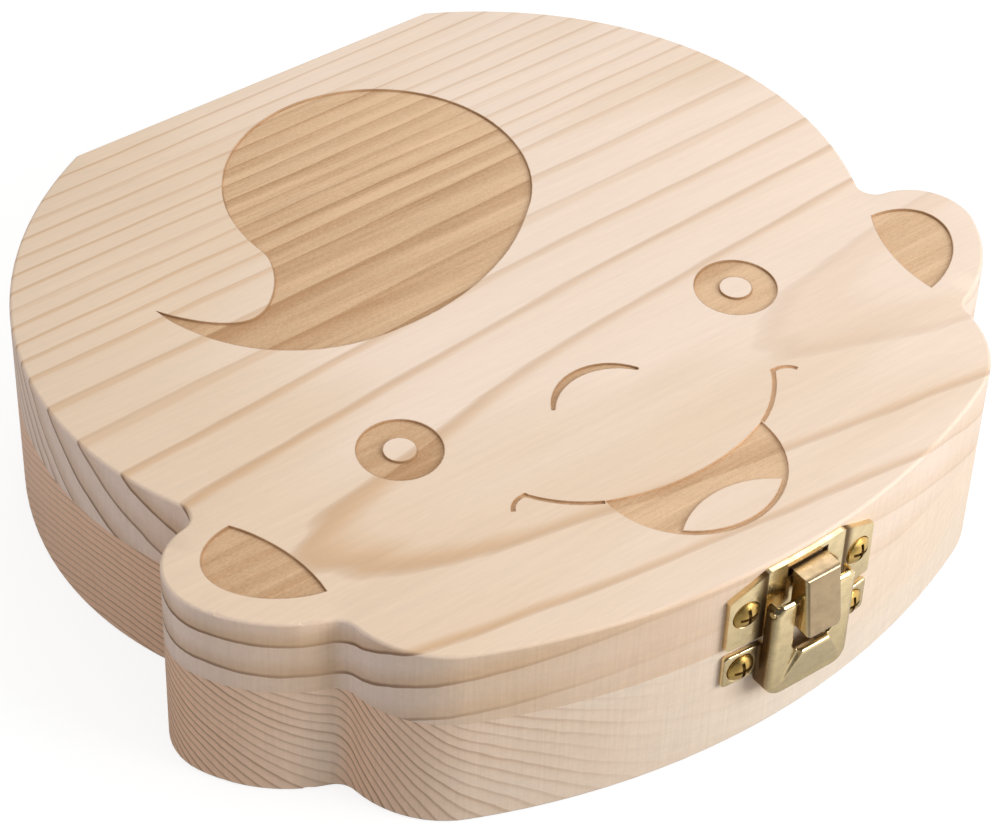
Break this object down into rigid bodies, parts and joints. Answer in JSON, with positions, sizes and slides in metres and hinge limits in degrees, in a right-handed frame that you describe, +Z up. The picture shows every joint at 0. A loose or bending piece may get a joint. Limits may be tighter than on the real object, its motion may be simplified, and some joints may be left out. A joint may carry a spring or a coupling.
{
  "type": "baby tooth box",
  "caption": "Head-shaped pine keepsake box with round ears, an engraved smiling face on its hinged lid, a brass spring latch and wells for milk teeth inside.",
  "frame": {"origin": "on the underside, on the middle line, halfway between the rear flat and the chin", "axes": "+X to the box's right, +Y to the hinges, +Z up through the lid"},
  "size_m": [0.1288, 0.1247, 0.03],
  "materials": {
    "lid_wood": "sanded bare pine",
    "base_wood": "sanded bare pine",
    "brass": "polished plate",
    "screw_brass": "polished plate",
    "spring_steel": "drawn wire"
  },
  "bodies": {
    "base": {"base_block": "base_wood", "latch_plate": "brass", "latch_screw_left": "screw_brass", "latch_screw_right": "screw_brass", "latch_pin": "brass", "latch_spring": "spring_steel", "hinge_left_base_leaf": "brass", "hinge_left_pin": "brass", "hinge_left_base_screw_1": "screw_brass", "hinge_left_base_screw_2": "screw_brass", "hinge_right_base_leaf": "brass", "hinge_right_pin": "brass", "hinge_right_base_screw_1": "screw_brass", "hinge_right_base_screw_2": "screw_brass"},
    "lid": {"lid_board": "lid_wood", "strike_plate": "brass", "strike_screw_left": "screw_brass", "strike_screw_right": "screw_brass", "hinge_left_lid_leaf": "brass", "hinge_left_lid_screw_1": "screw_brass", "hinge_left_lid_screw_2": "screw_brass", "hinge_right_lid_leaf": "brass", "hinge_right_lid_screw_1": "screw_brass", "hinge_right_lid_screw_2": "screw_brass"},
    "latch_lever": {"latch_lever": "brass"}
  },
  "joints": [
    {"name": "lid_hinge", "type": "hinge", "parent": "base", "child": "lid", "pos_m": [0, 0.05975, 0.018], "axis": [-1, 0, 0], "range_deg": [0, 180]},
    {"name": "latch_press", "type": "hinge", "parent": "base", "child": "latch_lever", "pos_m": [0.0033, -0.06057, 0.0234], "axis": [1, 0, 0], "range_deg": [0, 15], "stiffness_Nm_per_rad": 0.02, "springref_deg": -8.59, "deforming": ["latch_spring"]}
  ]
}
